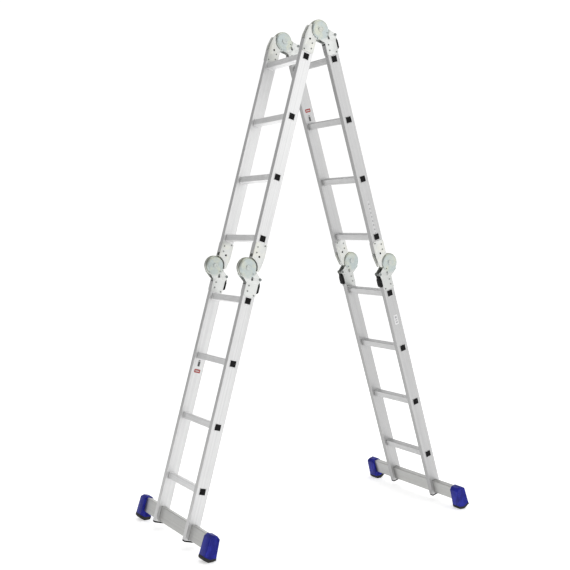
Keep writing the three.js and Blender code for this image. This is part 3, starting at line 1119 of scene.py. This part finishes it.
def mouldGrip():
    make = gripMake
    piece = newBlock(
        "gripPattern",
        (make["inner"], -make["half"], make["bottom"]),
        (make["outer"], make["half"], make["top"]),
    )
    edit(piece)
    for line in (make["step"], make["wide"], make["bottom"] + 0.006):
        bpy.ops.mesh.select_all(action="SELECT")
        bpy.ops.mesh.bisect(plane_co=(0, 0, line), plane_no=(0, 0, 1))
    choose(piece, "VERT", lambda v: v.co.z > make["step"] - 0.0001)
    bpy.ops.transform.resize(value=(1, make["neckShare"], 1), center_override=(0, 0, 0))
    choose(piece, "VERT", lambda v: v.co.z > make["top"] - 0.0001 and v.co.x > make["inner"] + 0.001)
    shift(x=-0.002)
    choose(piece, "VERT", lambda v: v.co.z < make["bottom"] + 0.0001 and v.co.x > make["inner"] + 0.001)
    shift(x=-0.0045)
    choose(piece, "VERT", lambda v: v.co.z < make["bottom"] + 0.0001)
    bpy.ops.transform.resize(value=(1, 0.72, 1), center_override=(0, 0, 0))
    choose(piece, "EDGE", lambda e: abs(centre(e).y) > 0.004)
    bpy.ops.mesh.bevel(offset=0.0018, segments=4, affect="EDGES")
    top = make["wide"] - 0.0022
    lines = [(top - i * make["ribPitch"], top - i * make["ribPitch"] - 0.0026) for i in range(make["ribs"])]
    for pair in lines:
        for line in pair:
            bpy.ops.mesh.select_all(action="SELECT")
            bpy.ops.mesh.bisect(plane_co=(0, 0, line), plane_no=(0, 0, 1))
    choose(
        piece,
        "FACE",
        lambda f: f.normal.x > 0.97 and any(low < centre(f).z < high for high, low in lines),
    )
    bpy.ops.mesh.extrude_region_move(TRANSFORM_OT_translate={"value": (make["ribHeight"], 0, 0)})
    putDown()
    return easeEdges(piece, 0.0004, 2, 44, 32)


springMake = {"wire": 0.0005, "radius": 0.0053, "turns": 3, "pitch": 0.0015, "leg": 0.007, "start": 0.0101}


def windSpring():
    make = springMake
    putDown()
    bpy.ops.mesh.primitive_circle_add(vertices=10, radius=make["wire"], fill_type="NOTHING")
    piece = bpy.context.active_object
    piece.name = "springPattern"
    edit(piece)
    bpy.ops.mesh.select_all(action="SELECT")
    shift(x=make["radius"])
    putDown()
    applyModifier(
        piece,
        "SCREW",
        axis="Y",
        steps=20,
        render_steps=20,
        screw_offset=make["pitch"],
        iterations=make["turns"],
        use_merge_vertices=False,
    )
    edit(piece)
    choose(piece, "EDGE", lambda e: len(e.link_faces) == 1 and centre(e).y < 0.002)
    bpy.ops.mesh.extrude_region_move(TRANSFORM_OT_translate={"value": (0, 0, -make["leg"])})
    choose(piece, "EDGE", lambda e: len(e.link_faces) == 1 and centre(e).y > 0.002)
    bpy.ops.mesh.extrude_region_move(TRANSFORM_OT_translate={"value": (0, 0, make["leg"] * 0.6)})
    bpy.ops.mesh.select_all(action="SELECT")
    bpy.ops.mesh.fill_holes(sides=0)
    bpy.ops.mesh.select_all(action="SELECT")
    bpy.ops.mesh.normals_make_consistent(inside=False)
    bpy.ops.mesh.select_all(action="SELECT")
    shift(ladder["leverPin"][0], make["start"], ladder["leverPin"][1])
    putDown()
    pickUp(piece)
    bpy.ops.object.shade_smooth_by_angle(angle=math.radians(50))
    return piece


rivetMake = {"head": 0.0036, "height": 0.0011, "hollow": 0.0015, "deep": 0.0016}


def setRivets(name, spots):
    # hollow rivets through the arm and the stile, a head on either face
    make = rivetMake
    rivets = []
    for x, z in spots:
        putDown()
        bpy.ops.mesh.primitive_cylinder_add(
            vertices=20,
            radius=make["head"],
            depth=make["height"],
            location=(x, ladder["armOutside"] + make["height"] / 2, z),
            rotation=(-math.pi / 2, 0, 0),
        )
        rivet = bpy.context.active_object
        bpy.ops.object.transform_apply(location=True, rotation=True, scale=True)
        edit(rivet)
        choose(rivet, "FACE", lambda f: f.normal.y > 0.9)
        bpy.ops.mesh.inset(thickness=make["head"] - make["hollow"])
        bpy.ops.mesh.extrude_region_move(TRANSFORM_OT_translate={"value": (0, -make["deep"], 0)})
        putDown()
        rivets.append(rivet)
    piece = gather(*rivets)
    piece.name = name
    easeEdges(piece, 0.0004, 2, 40, 30)
    applyModifier(piece, "MIRROR", use_axis=(False, True, False), use_mirror_merge=False)
    return piece


bushMake = {"rim": 0.0046, "bore": 0.0030, "end": 0.0148, "deep": 0.006}


def turnBush():
    # a black bush across the arm, showing in the hole on either side
    make = bushMake
    x, z = armMake["hole"][0], armMake["hole"][1]
    bush = newRod("bushPattern", x, z, make["rim"], make["end"], 28)
    edit(bush)
    for way in (-1, 1):
        choose(bush, "FACE", lambda f: f.normal.y * way > 0.9)
        bpy.ops.mesh.inset(thickness=make["rim"] - make["bore"])
        bpy.ops.mesh.extrude_region_move(TRANSFORM_OT_translate={"value": (0, -way * make["deep"], 0)})
    putDown()
    return easeEdges(bush, 0.0003, 2, 40, 30)


dotMake = {
    "radius": 0.0011,
    "height": 0.0004,
    "rows": ((-0.0200, 5), (-0.0265, 4), (-0.0330, 3)),
    "pitch": 0.0062,
}


def pressDots():
    # small bumps pressed in the cheek, low on the disc
    make = dotMake
    dots = []
    for z, count in make["rows"]:
        for i in range(count):
            putDown()
            bpy.ops.mesh.primitive_cylinder_add(
                vertices=14,
                radius=make["radius"],
                depth=make["height"] * 2,
                location=(-0.003 + (i - (count - 1) / 2) * make["pitch"], ladder["cheekSide"], z),
                rotation=(-math.pi / 2, 0, 0),
            )
            dots.append(bpy.context.active_object)
            bpy.ops.object.transform_apply(location=True, rotation=True, scale=True)
            edit(dots[-1])
            choose(dots[-1], "FACE", lambda f: f.normal.y > 0.9)
            bpy.ops.transform.resize(value=(0.5, 1, 0.5))
            bpy.ops.mesh.inset(thickness=make["radius"] * 0.25)
            shift(y=make["height"] * 0.2)
            putDown()
    piece = gather(*dots)
    piece.name = "dotPattern"
    pickUp(piece)
    bpy.ops.object.shade_smooth_by_angle(angle=math.radians(60))
    return applyModifier(piece, "MIRROR", use_axis=(False, True, False), use_mirror_merge=False)


def fitHinges():
    cheeks = pressCheeks()
    print("hinges: cheeks pressed")
    innerArm = pressInnerArm()
    pin, lever, grip, spring = turnPivotPin(), bendLever(), mouldGrip(), windSpring()
    rivetSpots = [(0.024, -0.074), (0.023, -0.099), (0.058, -0.112)]
    rivets = setRivets("rivetPattern", rivetSpots)
    dots = pressDots()
    bush = turnBush()
    print("hinges: levers bent, springs wound")
    for name in ("top", "front", "rear"):
        innerBody = "front_upper" if name == "top" else f"{name}_upper"
        outerBody = "rear_upper" if name == "top" else f"{name}_lower"
        for side in ("left", "right"):
            here = f"{name}_{side}"
            place = cheekPlace(name, side)
            across = innerArmPlace(name, side)
            leverBody = f"{here}_lever"
            plated = cheekZinc[name]
            fit(cheeks, f"{here}_cheeks", place, outerBody, plated, "zinc_steel", f"{here}_outer_arm")
            fit(dots, f"{here}_cheek_dots", place, outerBody, plated, "zinc_steel")
            fit(pin, f"{here}_hinge_pin", place, outerBody, pinSteel, "zinc_steel", f"{here}_pivot_pin")
            plate = f"{here}_lever_plate"
            fit(lever, plate, place, leverBody, leverSteel, "zinc_steel", f"{here}_release_lever")
            fit(grip, f"{here}_grip", place, leverBody, gripBlack, "black_plastic", f"{here}_lever_grip")
            fit(spring, f"{here}_lever_spring", place, outerBody, springSteel, "zinc_steel")
            fit(rivets, f"{here}_outer_rivets", place, outerBody, rivetSteel, "zinc_steel")
            plates = f"{here}_inner_plates"
            fit(innerArm, plates, across, innerBody, armZinc, "zinc_steel", f"{here}_inner_arm")
            fit(rivets, f"{here}_inner_rivets", across, innerBody, rivetSteel, "zinc_steel")
            fit(bush, f"{here}_stop_bush", across, innerBody, gripBlack, "black_plastic")
    putAway(cheeks, innerArm, pin, lever, grip, spring, rivets, dots, bush)


fitHinges()
print("hinges: fitted")


# feet, in the leg's frame at the last rung, for the side where y is positive

footMake = {
    "top": -0.137,
    "soleTop": -0.2345,
    "sole": -0.250,
    "halfTop": 0.0235,
    "half": 0.0280,
    "inner": 0.312,
    "outer": 0.364,
    "corner": 0.012,
    "edge": 0.0026,
    "soleOver": 0.0004,
    "grooves": 6,
}


def mouldCap():
    make = footMake
    piece = newBlock(
        "capPattern",
        (-make["half"], make["inner"], make["soleTop"]),
        (make["half"], make["outer"], make["top"]),
    )
    edit(piece)
    # narrower at the top
    choose(piece, "VERT", lambda v: v.co.z > make["top"] - 0.001)
    bpy.ops.transform.resize(value=(make["halfTop"] / make["half"], 1, 1), center_override=(0, 0, 0))
    # corners cut off the top, front and back, and off the end
    choose(piece, "EDGE", lambda e: centre(e).z > make["top"] - 0.001 and runsAlong(e, 1))
    bpy.ops.mesh.bevel(offset=make["corner"], segments=1, affect="EDGES")
    choose(
        piece,
        "EDGE",
        lambda e: centre(e).z > make["top"] - 0.001
        and runsAlong(e, 0)
        and centre(e).y > make["outer"] - 0.001,
    )
    bpy.ops.mesh.bevel(offset=0.006, segments=1, affect="EDGES")
    # the sole's seat is a shallow ridge
    bpy.ops.mesh.select_all(action="SELECT")
    bpy.ops.mesh.bisect(plane_co=(0, 0, 0), plane_no=(1, 0, 0))
    choose(piece, "VERT", lambda v: v.co.z < make["soleTop"] + 0.0001 and abs(v.co.x) > 0.001)
    shift(z=math.tan(lean) * make["half"])
    # a panel sunk in the end
    choose(piece, "FACE", lambda f: f.normal.y > 0.95)
    bpy.ops.mesh.inset(thickness=0.0052)
    bpy.ops.mesh.inset(thickness=0.0009)
    shift(y=-0.0012)
    # a collar round the bar
    choose(piece, "FACE", lambda f: f.normal.y < -0.95)
    bpy.ops.mesh.inset(thickness=0.0042)
    bpy.ops.mesh.inset(thickness=0.0012)
    shift(y=-0.0016)
    bpy.ops.mesh.inset(thickness=0.0030)
    bpy.ops.mesh.extrude_region_move(TRANSFORM_OT_translate={"value": (0, 0.004, 0)})
    putDown()
    easeEdges(piece, make["edge"], 3, 24, 40)
    return piece


def mouldSole():
    make = footMake
    rise = math.tan(lean)
    low, high = make["sole"], make["soleTop"]
    over = make["soleOver"]
    half = make["half"] + over
    inner, outer = make["inner"] - over, make["outer"] + over
    piece = newBlock("solePattern", (-half, inner, low), (half, outer, high - 0.0003))
    edit(piece)
    bpy.ops.mesh.select_all(action="SELECT")
    bpy.ops.mesh.bisect(plane_co=(0, 0, 0), plane_no=(1, 0, 0))
    choose(piece, "VERT", lambda v: abs(v.co.x) > 0.001)
    shift(z=rise * half)
    # edges turned up
    choose(
        piece,
        "EDGE",
        lambda e: centre(e).z < low + rise * half + 0.001
        and abs(centre(e).x) > half - 0.001
        and runsAlong(e, 1),
    )
    bpy.ops.mesh.bevel(offset=0.0085, segments=5, affect="EDGES")
    choose(
        piece,
        "EDGE",
        lambda e: centre(e).y > outer - 0.0005
        and centre(e).z < high - 0.004
        and not runsAlong(e, 2)
        and sum(f.normal.y < 0.5 for f in e.link_faces) == 1,
    )
    bpy.ops.mesh.bevel(offset=0.0105, segments=5, affect="EDGES")
    # tread grooves across the underside
    grooves = []
    pitch = (outer - inner) / (make["grooves"] + 1)
    for i in range(make["grooves"]):
        y = inner + (i + 1) * pitch
        grooves.append(newGroove(y, low))
    putDown()
    carve(piece, *grooves)
    easeEdges(piece, 0.0006, 2, 34, 34)
    return piece


def newGroove(y, low):
    rise = math.tan(lean)
    half = footMake["half"]
    start = (-half - 0.002, y - 0.0010, low - 0.004)
    groove = newBlock("groove", start, (half + 0.002, y + 0.0010, low + 0.0013))
    edit(groove)
    bpy.ops.mesh.select_all(action="SELECT")
    bpy.ops.mesh.bisect(plane_co=(0, 0, 0), plane_no=(1, 0, 0))
    choose(groove, "VERT", lambda v: abs(v.co.x) > 0.001)
    shift(z=rise * (half + 0.002))
    putDown()
    return groove


stilePlugMake = {"depth": 0.0570, "thickness": 0.0222, "above": 0.004, "below": 0.0062, "corner": 0.003}


def mouldStilePlug():
    make = stilePlugMake
    halfX, halfY = make["depth"] / 2, make["thickness"] / 2
    end = -ladder["stileTail"]
    bottom, top = end - make["below"], end + make["above"]
    piece = newBlock("stilePlugPattern", (-halfX, -halfY, bottom), (halfX, halfY, top))
    edit(piece)
    choose(piece, "EDGE", lambda e: runsAlong(e, 2))
    bpy.ops.mesh.bevel(offset=make["corner"], segments=4, affect="EDGES")
    bpy.ops.mesh.select_all(action="SELECT")
    bpy.ops.mesh.bisect(plane_co=(0, 0, end), plane_no=(0, 0, 1))
    # a flange that the stile's end stands on
    choose(piece, "FACE", lambda f: centre(f).z < end and abs(f.normal.z) < 0.5)
    bpy.ops.mesh.extrude_region_shrink_fatten(TRANSFORM_OT_shrink_fatten={"value": 0.0016})
    choose(piece, "FACE", lambda f: f.normal.z < -0.9 and centre(f).z < end - make["below"] + 0.0005)
    bpy.ops.mesh.inset(thickness=0.004)
    shift(z=-0.0008)
    putDown()
    return easeEdges(piece, 0.0012, 3, 40, 34)


def fitFeet():
    cap, sole, plug = mouldCap(), mouldSole(), mouldStilePlug()
    lastRung = (2 * ladder["rungsPerSection"] - 0.5) * rungPitch
    for leg in legTurn:
        here = legPlace(leg) @ moved(ladder["pinOffset"], 0, -lastRung)
        for side in ("left", "right"):
            way = sideway(leg, side)
            place = here @ turned(0 if way > 0 else 180, "Z")
            body = f"{leg}_lower"
            fit(cap, f"{leg}_foot_cap_{side}", place, body, capBlue, "blue_plastic", f"{leg}_foot_{side}")
            fit(sole, f"{leg}_foot_sole_{side}", place, body, soleBlack, "black_rubber")
            stileEnd = here @ moved(0, way * stileSide, 0)
            fit(plug, f"{leg}_stile_plug_{side}", stileEnd, body, plugBlack, "black_plastic")
    putAway(cap, sole, plug)


fitFeet()
print("feet: fitted")


# labels

# along: down the leg from the top pin; face: +1 is the side of the stile towards the rungs
warning = ((-0.14, 0.12, -0.58, 0.58),)
figure = ((-0.5, 0.22, -0.17, 0.17), (0.30, 0.46, -0.11, 0.11))
marks = ((-0.34, -0.22, -0.12, 0.12), (-0.08, 0.02, -0.12, 0.12), (0.14, 0.34, -0.12, 0.12))
fineRows = (-0.45, -0.34, -0.21, -0.10, 0.02, 0.13, 0.25, 0.38)
fine = tuple((row, row + 0.045, -0.020, 0.020) for row in fineRows)
red, pale, ink, bare = (0.36, 0.030, 0.026), (0.60, 0.58, 0.56), (0.012, 0.012, 0.014), (0.62, 0.62, 0.62)
white, grey = (0.74, 0.74, 0.74), (0.36, 0.36, 0.38)
labels = {
    "front_warning_plate": ("front", "lower", "left", 1, 1.612, (0.030, 0.017), red, pale, warning),
    "front_figure_plate": ("front", "lower", "left", 1, 1.575, (0.014, 0.030), bare, ink, figure),
    "rear_warning_plate": ("rear", "upper", "left", 1, 0.343, (0.030, 0.017), red, pale, warning),
    "rear_figure_plate": ("rear", "upper", "left", 1, 0.380, (0.014, 0.030), bare, ink, figure),
    "rear_care_plate": ("rear", "upper", "right", -1, 0.890, (0.012, 0.170), bare, (0.30, 0.30, 0.31), fine),
    "rear_size_plate": ("rear", "lower", "right", -1, 1.395, (0.022, 0.048), white, grey, marks),
}


def stickLabel(name, leg, section, side, face, along, size, ground, print_, bars):
    # a thin printed plate on one face of a stile
    width, height = size
    way = sideway(leg, side)
    y = way * (stileSide - face * (ladder["stileThickness"] / 2 + 0.0001))
    place = legPlace(leg) @ moved(ladder["pinOffset"], y, -along)
    piece = newBlock("label", (-width / 2, -0.0002, -height / 2), (width / 2, 0.0002, height / 2))
    edit(piece)
    choose(piece, "EDGE", lambda e: runsAlong(e, 1))
    bpy.ops.mesh.bevel(offset=0.0025, segments=4, affect="EDGES")
    putDown()
    easeEdges(piece, 0.0001, 1, 40, 30)
    paper = labelPaper(name + "Print", ground, print_, place, height, bars)
    fit(piece, name, place, f"{leg}_{section}", paper, "black_plastic")
    putAway(piece)


for labelName, labelMake in labels.items():
    stickLabel(labelName, *labelMake)
print("labels: stuck")


# the room

room = {
    "floor": 60.0,
    "floorGlow": 0.50,
    "keyPlace": (2.6, -5.2, 3.2),
    "keySize": 4.2,
    "keyPower": 34,
    "fillPlace": (-4.8, -2.0, 2.4),
    "fillSize": 3.0,
    "fillPower": 6,
    "topPlace": (0.3, -0.4, 5.6),
    "topSize": 4.0,
    "topPower": 40,
    "backPlace": (2.2, 4.6, 2.6),
    "backSize": 3.0,
    "backPower": 10,
    "skyBright": 0.90,
    "skyDark": 0.33,
}


def layFloor():
    putDown()
    bpy.ops.mesh.primitive_plane_add(size=room["floor"], location=(0, 0, 0))
    floor = bpy.context.active_object
    floor.name = "studio_floor"
    glow = {"Emission_Strength": room["floorGlow"], "Emission_Color": (1, 1, 1, 1)}
    finish = Finish("paleFloor", Metallic=0.0, **glow)
    cloud = finish.noise(finish.grid(), 0.7, 4.0, 0.5)
    grain = finish.noise(finish.grid(), 220.0, 2.0, 0.5)
    tone = finish.tint(cloud, (0.90, 0.90, 0.895), (0.93, 0.93, 0.93))
    paint(floor, finish.wear(Base_Color=tone, Roughness=0.75 + grain * 0.1))


def hangLight(name, place, size, power, colour=(1, 1, 1)):
    putDown()
    bpy.ops.object.light_add(type="AREA", location=place)
    light = bpy.context.active_object
    light.name = name
    light.data.shape = "DISK"
    light.data.size = size
    light.data.energy = power
    light.data.color = colour
    aim = Vector((0, 0, 1.1)) - Vector(place)
    light.rotation_euler = aim.to_track_quat("-Z", "Y").to_euler()


def lightSky():
    # a pale room that is brighter on the right, so the narrow faces of the stiles fall into soft shade
    world = bpy.data.worlds.new("studioRoom")
    bpy.context.scene.world = world
    world.use_nodes = True
    tree = world.node_tree
    tree.nodes.clear()
    place = tree.nodes.new("ShaderNodeTexCoord")
    parts = tree.nodes.new("ShaderNodeSeparateXYZ")
    ramp = tree.nodes.new("ShaderNodeMapRange")
    seen = tree.nodes.new("ShaderNodeLightPath")
    mix = tree.nodes.new("ShaderNodeMix")
    back = tree.nodes.new("ShaderNodeBackground")
    out = tree.nodes.new("ShaderNodeOutputWorld")
    ramp.inputs["From Min"].default_value = -0.8
    ramp.inputs["From Max"].default_value = 0.7
    ramp.inputs["To Min"].default_value = room["skyDark"]
    ramp.inputs["To Max"].default_value = room["skyBright"]
    mix.data_type = "FLOAT"
    mix.inputs[3].default_value = 1.05
    tree.links.new(place.outputs["Generated"], parts.inputs[0])
    tree.links.new(parts.outputs[0], ramp.inputs["Value"])
    tree.links.new(seen.outputs["Is Camera Ray"], mix.inputs[0])
    tree.links.new(ramp.outputs[0], mix.inputs[2])
    tree.links.new(mix.outputs[0], back.inputs["Strength"])
    tree.links.new(back.outputs[0], out.inputs[0])
    back.inputs["Color"].default_value = (1, 1, 1, 1)


def standCamera():
    # eye height, off to the front left of the ladder, with a normal portrait lens
    stand = {"place": (-2.368, -3.779, 1.375), "heading": 31.03, "tilt": -3.61, "roll": -0.58, "lens": 59.95}
    putDown()
    bpy.ops.object.camera_add(location=stand["place"])
    camera = bpy.context.active_object
    camera.name = "camera"
    heading, tilt, roll = (math.radians(stand[k]) for k in ("heading", "tilt", "roll"))
    turn = Matrix.Rotation(-heading, 3, "Z")
    lift = Matrix.Rotation(math.pi / 2 + tilt, 3, "X")
    camera.rotation_euler = (turn @ lift @ Matrix.Rotation(roll, 3, "Z")).to_euler()
    camera.data.lens = stand["lens"]
    camera.data.sensor_width = 36
    camera.data.clip_end = 100
    bpy.context.scene.camera = camera


layFloor()
hangLight("keyLight", room["keyPlace"], room["keySize"], room["keyPower"])
hangLight("fillLight", room["fillPlace"], room["fillSize"], room["fillPower"])
hangLight("topLight", room["topPlace"], room["topSize"], room["topPower"])
hangLight("backLight", room["backPlace"], room["backSize"], room["backPower"])
lightSky()
standCamera()
bpy.context.scene.view_settings.view_transform = "Standard"
print("room: lit")
